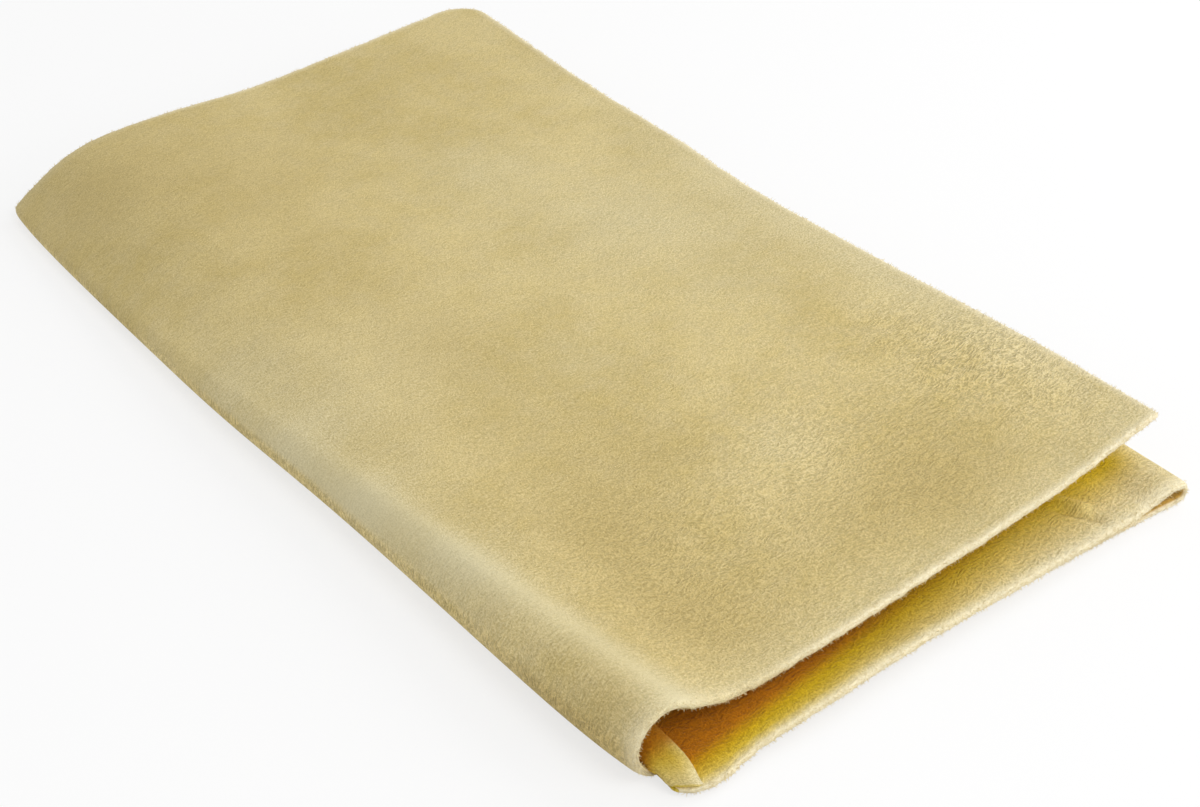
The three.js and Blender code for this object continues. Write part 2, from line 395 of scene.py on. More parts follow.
# Brown tint: painted shade of the deepest part of the gap
BROWN_SHADE_TINT = (0.86, 0.45, 0.03, 1)
CUT_EDGE_PALE = (0.95, 0.88, 0.66, 1)
CUT_EDGE_SHADE = (0.83, 0.71, 0.44, 1)
FIBRE_PALE = (0.86, 0.75, 0.46, 1)
FIBRE_SHADE = (0.62, 0.47, 0.19, 1)
SHEEN_TINT = (1, 0.94, 0.8, 1)
FLOOR_WHITE = (0.93, 0.93, 0.93, 1)
WHITE = (1, 1, 1, 1)

# Loose fibres of the cut edges: sizes, how many there are on each square millimetre, and the middle and
# tip of a bent fibre of unit length
FIBRE_LENGTH = 0.55
FIBRE_THICKNESS = 0.11
FIBRE_DENSITY = 6
FIBRE_SHORTEST = 0.4
FIBRE_LONGEST = 1.2
FIBRE_TAPER = 0.6
FIBRE_TILT = 0.9
FIBRE_MIDDLE = (0.1, 0, 0.55)
FIBRE_TIP = (0.55, 0, 0.85)
FIBRE_STEPS = 2
FIBRE_SIDES = 3

# Camera: azimuth, elevation and roll in degrees, and a target measured from the spine's near end
CAMERA_ANGLES = (-37.74, 36.32, -0.235)
CAMERA_TARGET = (54.88, 77.17, 8)
CAMERA_DISTANCE = 414.7
CAMERA_LENS = 63.56
CAMERA_SENSOR = 36

# Studio: places are in the part's frame, and the lamps are aimed at its origin
AMBIENT = 0.59
FLOOR_SIZE = 6000
FLOOR_HEIGHT = -0.1
FLOOR_GLOW = 0.7
FLOOR_FADE_START = 260
FLOOR_FADE_END = 520
SOFTBOXES = [
    {"name": "right", "place": (900, 0, 600), "size": 600, "power": 2.9},
    {"name": "near_right", "place": (500, -900, 330), "size": 500, "power": 2.3},
    {"name": "near_top", "place": (100, -700, 900), "size": 500, "power": 3.3},
    {"name": "low_right", "place": (900, -300, 180), "size": 300, "power": 1.5},
    {"name": "left", "place": (-900, -100, 500), "size": 500, "power": 0.35},
]


# Curves

def smoothstep(value, low, high):
    """Smooth ramp: 0 up to a low value, 1 from a high one."""
    share = np.clip((value - low) / (high - low), 0, 1)
    return share * share * (3 - 2 * share)


def fade(value, start, end):
    """Smooth ramp down: 1 up to a start, 0 from an end."""
    return 1 - smoothstep(value, start, end)


def ramp(value, start, end, strength):
    """Smooth ramp: 0 on the near side of a start, and a strength past an end."""
    return strength * smoothstep(value, start, end)


def between(first, last, share):
    return first + (last - first) * share


def bell(distance, width):
    """Soft bump: 1 where the distance is 0, almost 0 two widths away."""
    return np.exp(-((distance / width) ** 2))


def catmull_rom(values, share):
    """Smooth line through evenly spaced values, at shares of its length from 0 to 1."""
    values = np.asarray(values, float)
    last = len(values) - 1
    place = np.clip(np.asarray(share, float), 0, 1) * last
    index = np.minimum(place.astype(int), last - 1)
    step = (place - index).reshape((-1,) + (1,) * (values.ndim - 1))
    here = values[index]
    ahead = values[index + 1]
    start_slope = (ahead - values[np.maximum(index - 1, 0)]) / 2
    end_slope = (values[np.minimum(index + 2, last)] - here) / 2
    cubic = 2 * here - 2 * ahead + start_slope + end_slope
    square = 3 * ahead - 3 * here - 2 * start_slope - end_slope
    return ((cubic * step + square) * step + start_slope) * step + here


def unit(vectors):
    return vectors / np.linalg.norm(vectors, axis=-1, keepdims=True)


def along_length(share, name):
    return catmull_rom([section[name] for section in SECTIONS], share)


def ease_curve(start, leaving, end, arriving, steps):
    """Cubic curve for each row, leaving one point in one direction and arriving at another in a second."""
    pull = EASE_PULL * np.linalg.norm(end - start, axis=-1, keepdims=True)
    share = np.linspace(0, 1, steps + 1)[None, :, None]
    weights = [(1 - share) ** 3, 3 * share * (1 - share) ** 2, 3 * share**2 * (1 - share), share**3]
    corners = [start, start + leaving * pull, end - arriving * pull, end]
    return sum(weight * corner[:, None, :] for weight, corner in zip(weights, corners))


def arc_curve(centre, radius, first_angle, last_angle, steps):
    """Round curve for each row about its own centre."""
    share = np.linspace(0, 1, steps + 1)
    angle = between(first_angle[:, None], last_angle[:, None], share)
    circle = np.stack([np.cos(angle), np.sin(angle)], axis=-1)
    return centre[:, None, :] + radius[:, None, None] * circle


def straight_line(start, end, shares):
    return between(start[:, None, :], end[:, None, :], np.asarray(shares)[None, :, None])


def column_places(length):
    """Distances from a cut edge, close together beside it."""
    rim = CUT_EDGE_STEPS[-1]
    return np.concatenate([CUT_EDGE_STEPS[:-1], np.linspace(rim, length, round((length - rim) / GRID))])


def row_places():
    """Distances along the skin, close together beside its two cut ends and fine where the layers show."""
    rim = np.array(CUT_EDGE_STEPS)
    near = np.arange(rim[-1], NEAR_ZONE, NEAR_GRID)
    far_end = SKIN_LENGTH - rim[-1]
    far = np.linspace(NEAR_ZONE, far_end, round((far_end - NEAR_ZONE) / FAR_GRID))
    return np.concatenate([rim[:-1], near, far, SKIN_LENGTH - rim[-2::-1]])


def pairs(first, second):
    """Points (across, height) from two values that may be single or one for each row."""
    return np.stack(np.broadcast_arrays(np.asarray(first, float), np.asarray(second, float)), axis=-1)


def turned(degrees):
    """Direction at an angle, for each row."""
    angle = np.radians(degrees)
    return np.stack([np.cos(angle), np.sin(angle)], axis=-1)


# Lines across the skin: for each row, points (across, height) of the middle of the leather

def top_flap_line(share):
    heights = along_length(share, "heights") * TOP_FLAP_HEIGHT
    stations = SPINE_STRIP + np.array(TOP_STATIONS) * (TOP_FLAP_WIDTH - SPINE_STRIP)
    fine = np.linspace(0, 1, FINE_POINTS)
    across = TOP_FLAP_WIDTH - column_places(TOP_FLAP_WIDTH - SOFT_SLOPE_START)
    place = np.interp(across, catmull_rom(stations, fine), fine)
    return pairs(across[None, :], catmull_rom(heights.T, place).T)


def spine_fold_line(share, start, leaving):
    near_tuck = np.exp(-share * SKIN_LENGTH / SOFT_END_LENGTH)
    far_tuck = np.exp(-(1 - share) * SKIN_LENGTH / SOFT_END_LENGTH)
    bow = SPINE_BOW * along_length(share, "bow") - SPINE_END_TUCK * (near_tuck + far_tuck)
    bow += SOFT_BOW * bell(share * SKIN_LENGTH - SOFT_BOW_MIDDLE, SOFT_BOW_LENGTH)
    bow -= SOFT_NEAR_TUCK * near_tuck
    radius = SPINE_RADIUS * along_length(share, "radius")
    opening = along_length(share, "opening")
    centre = pairs(radius + HALF_THICKNESS - bow, radius + BASE_HEIGHT)
    last_angle = np.full_like(share, np.radians(270))
    arc = arc_curve(centre, radius, np.radians(90 + opening), last_angle, SPINE_ARC_STEPS)
    slope = ease_curve(start, leaving, arc[:, 0], -turned(opening), SPINE_SLOPE_STEPS)
    seam = pairs(between(SPINE_SEAM_NEAR, SPINE_SEAM_FAR, share), BASE_HEIGHT)
    foot = straight_line(arc[:, -1], seam, np.linspace(0, 1, SPINE_FOOT_STEPS + 1))
    return np.concatenate([slope, arc[:, 1:], foot[:, 1:]], axis=1)


def base_panel_line(start):
    end = pairs(SIDE_SEAM, np.full(len(start), BASE_HEIGHT))
    return straight_line(start, end, np.linspace(0, 1, BASE_STEPS + 1))


def side_fold_line(share):
    rows = np.ones_like(share)
    centre = pairs(SIDE_CENTRE * rows, BASE_HEIGHT + SIDE_FOLD_RADIUS)
    first_angle = np.radians(-90) * rows
    last_angle = np.radians(90 - SIDE_FOLD_RISE) * rows
    arc = arc_curve(centre, SIDE_FOLD_RADIUS * rows, first_angle, last_angle, SIDE_ARC_STEPS)
    out_of_arc = turned((180 - SIDE_FOLD_RISE) * rows)
    inner = pairs(SIDE_LINE * rows, INNER_HEIGHT)
    slope = ease_curve(arc[:, -1], out_of_arc, inner, turned(180 * rows), SIDE_SLOPE_STEPS)
    return np.concatenate([arc, slope[:, 1:]], axis=1)


def near_pinch(share):
    """How far the inner flap is pinched together, from 1 at its near end to 0 a little way in."""
    return fade(share * INNER_FLAP_LENGTH, 0, PINCH_LENGTH)


def inner_flap_line(share):
    """Line of the inner flap and its turned-back hem, and the number of columns before the hem."""
    flare = HEM_FLARE * bell(share * INNER_FLAP_LENGTH - HEM_FLARE_MIDDLE, HEM_FLARE_LENGTH)
    hem_inset = between(HEM_NEAR_INSET, HEM_FAR_INSET, share) - flare
    hem_radius = HEM_PRESSED_RADIUS - PINCH * near_pinch(share)
    hem_line = hem_inset + HALF_THICKNESS + hem_radius
    droop = NOSE_DROOP * fade(share * INNER_FLAP_LENGTH, 0, NOSE_LENGTH)
    steps = np.linspace(0, 1, round((SIDE_LINE - HEM_NEAR_INSET) / INNER_GRID) + 1)
    across = between(SIDE_LINE, hem_line[:, None], steps)
    crown = INNER_CROWN * np.sin(np.pi * steps ** (1 / CROWN_LEAN)) ** 2
    nose = droop[:, None] * fade(across - hem_line[:, None], 0, NOSE_WIDTH)
    flap = pairs(across, INNER_HEIGHT + crown - nose)
    hem_height = INNER_HEIGHT - droop + hem_radius
    rows = np.ones_like(share)
    first_angle = np.radians(270) * rows
    last_angle = np.radians(90) * rows
    arc = arc_curve(pairs(hem_line, hem_height), hem_radius, first_angle, last_angle, HEM_ARC_STEPS)
    hem_end = pairs(hem_inset + flare + HEM_WIDTH, hem_height + hem_radius - HEM_SINK)
    hem_flat = HEM_WIDTH - HALF_THICKNESS - HEM_PRESSED_RADIUS
    hem_shares = 1 - np.array(CUT_EDGE_STEPS[::-1]) / hem_flat
    hem = straight_line(arc[:, -1], hem_end, hem_shares[hem_shares > 0])
    return np.concatenate([flap, arc[:, 1:], hem], axis=1), flap.shape[1]


# The whole skin as one grid of rows and columns

def noise_field(first, second, wave_length, layer):
    """Smooth noise from -1 to 1 over two distances."""
    scale = 1 / wave_length
    value = np.vectorize(lambda a, b: noise.noise(Vector((a * scale, b * scale, layer))))
    return value(first, second)


def roughened(line, distance, edge):
    """Line of a cut edge with its slow waves and small nicks."""
    row, layer = EDGE_NOISE[edge]
    waved = line + EDGE_WAVE * noise_field(distance, row, EDGE_WAVE_LENGTH, layer)
    return waved + EDGE_NICK * noise_field(distance, row, EDGE_NICK_LENGTH, layer + 1)


def corner_cut(across):
    """How far the rounded far corner of the top flap falls back."""
    into_corner = np.clip(FAR_CORNER_RADIUS - (TOP_FLAP_WIDTH - across), 0, FAR_CORNER_RADIUS)
    return FAR_CORNER_RADIUS - np.sqrt(FAR_CORNER_RADIUS**2 - into_corner**2)


def nose_reach(across):
    """How far the nose of the inner flap reaches past the rest of its near edge."""
    return NOSE_REACH * bell(across - HEM_NEAR_INSET - NOSE_WIDTH * NOSE_MIDDLE, NOSE_WIDTH * NOSE_SPREAD)


def nose_corner(from_tip):
    """How far the near edge turns back beside the hem's fold, to round the nose to a quarter ellipse."""
    into_corner = np.clip(1 - np.abs(from_tip) / NOSE_CORNER_WIDTH, 0, 1)
    return NOSE_CORNER * (1 - np.sqrt(1 - into_corner**2))


def outward_directions(points):
    along = np.gradient(points, axis=0)
    across = np.gradient(points, axis=1)
    return unit(np.cross(along, across))


def cut_ends(line, opened, ends, hem):
    """Where each column of the skin is cut off, along its length: at the near end and at the far end."""
    marks = [0, ends[0], ends[1], ends[2], ends[3], -1]
    near_reach = [0, SPINE_TOP_REACH, SPINE_FOOT_REACH, BASE_SIDE_REACH, INNER_SIDE_REACH, HEM_REACH]
    soft_reach = [0, 0, 0, SOFT_SIDE_REACH, 0, 0]
    far_reach = [0, 0, 0, SIDE_FOLD_FAR_REACH, SIDE_FOLD_FAR_REACH, HEM_FAR_REACH]
    near = -np.interp(opened[0], opened[0, marks], np.add(near_reach, soft_reach))
    far = SKIN_LENGTH + SOFT_FAR_REACH + np.interp(opened[-1], opened[-1, marks], far_reach)

    inner_columns = slice(ends[3] + 1, None)
    inner_across = line[0, inner_columns, 0]
    soft_inner = catmull_rom(SOFT_INNER_REACH, inner_across / FOLDED_WIDTH)
    near[inner_columns] -= nose_reach(inner_across) + soft_inner
    nose_tip = hem - 1 + HEM_ARC_STEPS // 2
    near[inner_columns] += nose_corner(opened[0, inner_columns] - opened[0, nose_tip])
    near[hem:] += HEM_SETBACK * np.linspace(0, 1, len(near[hem:]))
    top_columns = slice(0, ends[0] + 1)
    far[top_columns] -= corner_cut(line[-1, top_columns, 0])
    return roughened(near, opened[0], "near"), roughened(far, opened[-1], "far")


def build_skin():
    """Grid of the middle of the leather, with each point's place in the opened skin."""
    share = row_places() / SKIN_LENGTH
    top = top_flap_line(share)
    spine = spine_fold_line(share, top[:, -1], unit(top[:, -1] - top[:, -2]))
    base = base_panel_line(spine[:, -1])
    side = side_fold_line(share)
    inner, flap_columns = inner_flap_line(share)
    lines = [top, spine[:, 1:], base[:, 1:], side, inner[:, 1:]]
    ends = np.cumsum([line.shape[1] for line in lines]) - 1
    hem = ends[3] + flap_columns
    line = np.concatenate(lines, axis=1)
    steps = np.linalg.norm(np.diff(line, axis=1), axis=-1)
    opened = np.concatenate([np.zeros((len(share), 1)), np.cumsum(steps, axis=1)], axis=1)
    near, far = cut_ends(line, opened, ends, hem)
    length = between(near, far, share[:, None])
    return {
        "points": np.stack([line[..., 0], length, line[..., 1]], axis=-1),
        "opened": opened,
        "length": length,
        "share": share,
        "top_end": ends[0],
        "spine_seam": ends[1],
        "side_seam": ends[2],
        "side_end": ends[3],
        "hem": hem,
    }


def plan_of(skin):
    """Places across and along of the skin's points, seen from above."""
    return skin["points"][..., 0], skin["points"][..., 1]


def distance_to_fold(across, along, start, end):
    """Distance of points from the line of a small fold, seen from above."""
    start, step = np.array(start), np.subtract(end, start)
    place = np.stack([across, along], axis=-1) - start
    share = place @ step / (step @ step)
    return np.linalg.norm(place - np.clip(share, 0, 1)[..., None] * step, axis=-1)


def small_folds(skin):
    """Height that the small folds give the inner flap."""
    across, along = plan_of(skin)
    height = np.zeros(across.shape)
    for start, end, fold_height, half_width in SMALL_FOLDS:
        distance = distance_to_fold(across, along, start, end)
        height += fold_height * bell(distance, half_width)
    height[:, : skin["side_end"]] = 0
    height[:, skin["hem"] :] = 0
    return height


def shape_skin(skin):
    """Adds the swells, small folds and hem ridge of soft leather, and the wander of the free edge."""
    points, opened, length = skin["points"], skin["opened"], skin["length"]
    columns = np.arange(points.shape[1])
    outward = outward_directions(points)
    top_share = (columns < skin["spine_seam"]) * smoothstep(outward[..., 2], *SWELL_SLOPE)
    inner_places = [skin["side_seam"], skin["side_end"], skin["side_end"] + INNER_SWELL_COLUMNS]
    inner_share = np.interp(columns, inner_places, INNER_SWELL) * (columns < skin["hem"])
    height = sum(rise * noise_field(opened, length, wave, layer) for rise, wave, layer in SWELLS)
    height *= top_share + inner_share
    height += small_folds(skin)
    wrinkle_places = opened / HEM_WRINKLE_ACROSS, length / HEM_WRINKLE_ALONG
    wrinkles = HEM_WRINKLE * noise_field(*wrinkle_places, 1, WRINKLE_LAYER)
    ridge = HEM_RIDGE * bell(opened[:, -1:] - opened - HEM_RIDGE_PLACE, HEM_RIDGE_WIDTH)
    height += (wrinkles - ridge) * (columns >= skin["hem"])
    points += outward * height[..., None]

    drift = catmull_rom(FREE_EDGE_DRIFT, skin["share"])
    points[..., 0] += drift[:, None] * np.exp(-opened / FREE_EDGE_FADE)
    nicks = roughened(0, length[:, 0], "free")
    points[..., 0] += nicks[:, None] * np.exp(-opened / CUT_EDGE_STEPS[-1])

    ramp_before, ramp_after = FOLD_RAMP
    folded = smoothstep(columns, skin["top_end"] - ramp_before, skin["top_end"] + ramp_after)
    skin["folded"] = folded * (columns < skin["side_end"])
    from_hem = points[..., 0] - points[:, skin["hem"], 0][:, None]
    pinched = near_pinch(skin["share"])[:, None] * fade(from_hem, 0, PINCH_WIDTH)
    skin["fullness"] = 1 - PINCH_THINNING * pinched * (columns > skin["side_end"])


# Wear, and painted light and shade

def mark_regions(skin):
    """Regions of the skin: the top that faces up, the wall of the spine, the inner flap and its hem."""
    columns = np.arange(skin["points"].shape[1])
    facing_up = smoothstep(skin["outward"][..., 2], *FACING_UP)
    before_seam = columns < skin["spine_seam"]
    return {
        "top": before_seam * facing_up,
        "wall": (columns > skin["top_end"]) * before_seam * (1 - facing_up),
        "inner": columns > skin["side_seam"],
        "hem": columns >= skin["hem"],
    }


def soft_patches(skin, places):
    """Soft round patches, seen from above."""
    across, along = plan_of(skin)
    total = np.zeros(across.shape)
    for middle_across, middle_along, radius, strength in places:
        total += strength * bell(np.hypot(across - middle_across, along - middle_along), radius)
    return total


def shoulder_wear(skin):
    """The shoulder of the spine near the open end: rubbed smooth, and rubbed pale with a painted highlight.
    """
    across, along = plan_of(skin)
    offset, slope = SHOULDER_LINE
    shoulder = bell(across - offset - slope * along, SHOULDER_WIDTH)
    return shoulder * fade(along, *SHOULDER_FADE)


def pale_wear(skin, region, shoulder):
    """Paler tone: a painted highlight on the shoulder, painted light on the inner flap towards the side, and
    paler along the cut edges and in patches.
    """
    across, along = plan_of(skin)
    from_near_edge = along - along[:1]
    free_edge = FREE_EDGE_PALE * bell(skin["opened"], FREE_EDGE_PALE_WIDTH)
    free_edge *= bell(along - FREE_EDGE_PALE_MIDDLE, FREE_EDGE_PALE_REACH)
    near_edge = NEAR_EDGE_PALE * bell(from_near_edge, NEAR_EDGE_PALE_WIDTH)
    top = SHOULDER_PALE * shoulder + free_edge + near_edge + soft_patches(skin, PALE_PATCHES)
    inner = ramp(across, *INNER_PAINTED_LIGHT) + INNER_EDGE_PALE * bell(from_near_edge, INNER_EDGE_PALE_WIDTH)
    return np.clip(top * region["top"] + inner * region["inner"], 0, PALE_MOST)


def hem_pale_wear(skin, region):
    """Paler tone on the hem: along its cut edge and at the nose, where the hem's painted gold shade also
    gives way.
    """
    along = skin["points"][..., 1]
    pale = HEM_PALE * bell(skin["opened"][:, -1:] - skin["opened"], HEM_PALE_WIDTH)
    pale += HEM_TIP_PALE * fade(along - along[:1], *HEM_TIP_REACH)
    return pale * region["hem"]


def deep_wear(skin, region):
    """Deep tone, mostly painted shade: in a band beside the spine, in patches, on the near wall and in the
    mouth of the gap.
    """
    across, along = plan_of(skin)
    middle, width, strength = DEEP_SHADE_BAND
    top = strength * bell(across - middle, width) + soft_patches(skin, DEEP_PATCHES)
    inner = ramp(across, *INNER_SHADE) * fade(along, *DEEP_REACH)
    wall = ramp(along, *WALL_SHADE)
    return np.clip(top * region["top"] + inner * region["inner"] + wall * region["wall"], 0, 1)


def pebbled_wear(skin, region):
    """Pebbled grain: a little everywhere, more on the wall, at the near end and in patches."""
    near_end = fade(skin["points"][..., 1], *PEBBLED_REACH)
    top = soft_patches(skin, PEBBLED_PATCHES) + PEBBLED_NEAR * near_end
    inner = INNER_PEBBLED * near_end
    pebbled = top * region["top"] + inner * region["inner"] + PEBBLED_WALL * region["wall"]
    return np.clip(PEBBLED_EVERYWHERE + pebbled, 0, 1)


def gold_wear(skin, region, pale_hem):
    """Gold: painted shade outside on the inner flap and inside on its hem, and a deeper gold inside the other
    layers.
    """
    across, along = plan_of(skin)
    columns = np.arange(across.shape[1])
    places, starts, ends = zip(*GOLD_SHADE_LINE)
    shaded = smoothstep(along, np.interp(across, places, starts), np.interp(across, places, ends))
    gold_strength = between(1, SHELTER_DEPTH, smoothstep(along, *SHELTER_REACH))
    outside = shaded * gold_strength * region["inner"] * fade(across, *GOLD_SHADE_SIDE)
    start_columns, end_columns = SHELTER_FOLD
    fold_end = skin["spine_seam"] - SPINE_FOOT_STEPS
    in_fold = smoothstep(columns, skin["top_end"] - start_columns, skin["top_end"])
    in_fold *= fade(columns, fold_end - end_columns, fold_end)
    hem = HEM_GOLD_SHADE * shaded * (1 - pale_hem)
    inside = np.where(region["hem"], hem, INSIDE_GOLD * (1 - in_fold)) * gold_strength
    return outside, inside


def brown_wear(skin, region):
    """Painted brown shade of the deepest part of the gap: outside on the inner flap, inside on its hem and by
    the side fold.
    """
    across, along = plan_of(skin)
    columns = np.arange(across.shape[1])
    fading = fade(along, *BROWN_REACH)
    offset, slope = BROWN_LINE
    line = offset + slope * across + BROWN_HEM * region["hem"]
    brown = smoothstep(along, line + BROWN_START, line + BROWN_END) * fading
    brown *= 1 - ramp(across, *BROWN_SPINE)
    side = ramp(across, *BROWN_SIDE) * fading * (columns > skin["spine_seam"])
    return brown * region["inner"], np.where(region["hem"], brown, side)


def mark_edges(skin, region):
    """How pale the cut end of each column is, and whether it has a fringe of fibres."""
    across = skin["points"][0, :, 0]
    columns = np.arange(len(across))
    top = between(SPINE_EDGE_TONE, 1, smoothstep(across, *SPINE_EDGE_REACH))
    top += WALL_EDGE_TONE * fade(across, *WALL_EDGE_REACH)
    tone = np.where(columns < skin["spine_seam"], top, np.where(region["inner"], INNER_EDGE_TONE, 1))
    skin["edge_tone"] = np.where(region["hem"], 0, tone)
    skin["fringe"] = 1.0 - region["hem"]


def mark_wear(skin):
    """Wear and painted light and shade of the skin's outside and inside, from 0 to 1, and the marks of its
    cut edges.
    """
    region = mark_regions(skin)
    mark_edges(skin, region)
    along = skin["points"][..., 1]
    whole = np.ones(along.shape)
    shoulder = shoulder_wear(skin)
    rough = 1 - SHOULDER_SMOOTH * shoulder * region["top"]
    napped = between(NAP_FAR, 1, fade(along, *NAP_FADE))
    pale_hem = hem_pale_wear(skin, region)
    # Pale and deep carry painted highlight and shade besides tone; golden and brown carry the painted shade
    # of the gap, and golden also the inside's deeper gold
    skin["wear"] = {
        "pale": (pale_wear(skin, region, shoulder), pale_hem),
        "deep": (deep_wear(skin, region), HEM_SHADE * region["hem"] * whole),
        "pebbled": (pebbled_wear(skin, region) * rough, PEBBLED_EVERYWHERE * whole),
        "golden": gold_wear(skin, region, pale_hem),
        "brown": brown_wear(skin, region),
        "napped": (napped * rough, whole),
    }


# Meshes

def add_object(name, data):
    item = bpy.data.objects.new(name, data)
    bpy.context.scene.collection.objects.link(item)
    return item


def perimeter_of(rows, columns):
    """Grid rows and columns once round the edge of a grid."""
    near = [(0, column) for column in range(columns)]
    last = [(row, columns - 1) for row in range(1, rows)]
    far = [(rows - 1, column) for column in range(columns - 2, -1, -1)]
    first = [(row, 0) for row in range(rows - 2, 0, -1)]
    return np.array(near + last + far + first).T


def edge_distances(skin, columns, first_cut, last_cut):
    """Distance of each point of a piece from its nearest cut edge."""
    opened = skin["opened"][:, columns]
    length = skin["length"][:, columns]
    distance = np.minimum(length - length[:1], length[-1:] - length)
    if first_cut:
        distance = np.minimum(distance, opened - opened[:, :1])
    if last_cut:
        distance = np.minimum(distance, opened[:, -1:] - opened)
    return distance


def rim_loops(points, outer, inner, ring, first_cut, last_cut):
    """Loops of points round the edge of a piece, between its two faces, bulging at the cut edges."""
    row, column = ring
    last_row, last_column = points.shape[0] - 1, points.shape[1] - 1
    along = unit(np.gradient(points, axis=0)[row, column])
    across = unit(np.gradient(points, axis=1)[row, column])
    end_side = (row == last_row) * 1.0 - (row == 0)
    cut_side = (column == last_column) * float(last_cut) - (column == 0) * float(first_cut)
    outwards = along * end_side[:, None] + across * cut_side[:, None]
    upper, lower = outer[row, column], inner[row, column]
    place = np.concatenate([[0], np.cumsum(np.linalg.norm(np.diff(upper, axis=0), axis=-1))])
    loops = []
    for depth in RIM_DEPTHS:
        bulge = RIM_BULGE * math.sin(math.pi * depth)
        rough = RIM_ROUGHNESS * noise_field(place, depth * LEATHER_THICKNESS, RIM_GRAIN, RIM_LAYER)
        loops.append(between(upper, lower, depth) + outwards * (bulge + rough)[:, None])
    is_cut = np.clip(np.abs(end_side) + np.abs(cut_side), 0, 1)
    return loops, place, is_cut


def leather_fullness(skin, columns, distance):
    """Share of the leather's thickness at each point of a piece, less beside its cut edges."""
    folded = skin["folded"][columns]
    rounding = between(EDGE_ROUNDING, FOLD_ROUNDING, folded)
    thinning = between(EDGE_THINNING, FOLD_THINNING, folded)
    into_rounding = 1 - np.clip(distance / rounding, 0, 1)
    fullness = between(thinning, 1, np.sqrt(1 - into_rounding**2))
    return fullness * skin["fullness"][:, columns]


def grid_faces(rows, columns):
    cells = np.arange(rows * columns).reshape(rows, columns)
    corners = [cells[:-1, :-1], cells[1:, :-1], cells[1:, 1:], cells[:-1, 1:]]
    return np.stack(corners, axis=-1).reshape(-1, 4)


def rim_faces(ring_cells, ring_place, cell_count):
    """Faces of the rim between the two sides of a piece, and their places in the UV map."""
    ring_size = len(ring_place)
    levels = [ring_cells]
    for loop in range(len(RIM_DEPTHS)):
        levels.append(2 * cell_count + loop * ring_size + np.arange(ring_size))
    levels.append(ring_cells + cell_count)
    depths = [0, *RIM_DEPTHS, 1]
    next_place = np.append(ring_place[1:], ring_place[-1] + GRID)
    faces, places = [], []
    for upper, lower, high, low in zip(levels, levels[1:], depths, depths[1:]):
        faces.append(np.stack([upper, np.roll(upper, -1), np.roll(lower, -1), lower], axis=-1))
        corners = [(ring_place, high), (next_place, high), (next_place, low), (ring_place, low)]
        corner_places = [pairs(place, UV_RIM + depth * LEATHER_THICKNESS) for place, depth in corners]
        places.append(np.stack(corner_places, axis=1))
    return faces, places


def set_attribute(mesh, name, values):
    attribute = mesh.attributes.new(name, "FLOAT", "POINT")
    attribute.data.foreach_set("value", np.asarray(values, np.float32))


def mark_piece(mesh, skin, columns, distance, ring, is_cut):
    """Attributes of a piece: its pale cut edges, the fringe that carries fibres, and its tone, grain and
    painted light and shade.
    """
    loop_count = len(RIM_DEPTHS)
    edge_tone = skin["edge_tone"][columns]
    fray_width = between(FRAY_WIDTH, FOLD_FRAY_WIDTH, skin["folded"][columns])
    outside_fray = np.clip(1 - distance / fray_width, 0, 1) ** FRAY_FALL * edge_tone
    inside_fray = np.clip(1 - distance / INSIDE_FRAY_WIDTH, 0, 1) * edge_tone
    rim_fray = np.tile(is_cut * edge_tone[ring[1]], loop_count)
    set_attribute(mesh, "cut_edge", np.concatenate([outside_fray.ravel(), inside_fray.ravel(), rim_fray]))
    has_fringe = skin["fringe"][columns]
    face_fringe = (np.clip(1 - distance / FRINGE_WIDTH, 0, 1) * has_fringe).ravel()
    rim_fringe = np.tile(is_cut * has_fringe[ring[1]], loop_count)
    set_attribute(mesh, "fringe", np.concatenate([face_fringe, face_fringe, rim_fringe]))
    for attribute, sides in skin["wear"].items():
        face_values = [values[:, columns] for values in sides]
        rim_values = face_values[0][ring[0], ring[1]]
        all_values = [face.ravel() for face in face_values] + [rim_values] * loop_count
        set_attribute(mesh, attribute, np.concatenate(all_values))


def leather_piece(name, skin, columns, first_cut, last_cut, material):
    """Closed sheet of leather from some columns of the skin, with rounded rims at its cut edges."""
    points = skin["points"][:, columns]
    rows, column_count, _ = points.shape
    cell_count = rows * column_count
    distance = edge_distances(skin, columns, first_cut, last_cut)
    fullness = leather_fullness(skin, columns, distance)
    offset = skin["outward"][:, columns] * (HALF_THICKNESS * fullness)[..., None]
    outer = points + offset
    inner = points - offset
    ring = perimeter_of(rows, column_count)
    loops, ring_place, is_cut = rim_loops(points, outer, inner, ring, first_cut, last_cut)
    vertices = np.concatenate([outer.reshape(-1, 3), inner.reshape(-1, 3), *loops])

    outer_faces = grid_faces(rows, column_count)
    inner_faces = outer_faces[:, ::-1]
    rim, rim_places = rim_faces(ring[0] * column_count + ring[1], ring_place, cell_count)
    skin_place = pairs(skin["opened"][:, columns], skin["length"][:, columns] + UV_MARGIN).reshape(-1, 2)
    faces = [outer_faces, inner_faces + cell_count, *rim]
    places = [skin_place[outer_faces], skin_place[inner_faces] + [UV_INSIDE, 0], *rim_places]

    mesh = bpy.data.meshes.new(name)
    mesh.from_pydata(((vertices - ORIGIN) * MM).tolist(), [], np.concatenate(faces).tolist())
    mesh.shade_smooth()
    layer = mesh.uv_layers.new(name="skin")
    layer.uv.foreach_set("vector", (np.concatenate(places) * MM).astype(np.float32).ravel())
    mark_piece(mesh, skin, columns, distance, ring, is_cut)
    mesh.materials.append(material)
    return add_object(name, mesh)


# Nodes

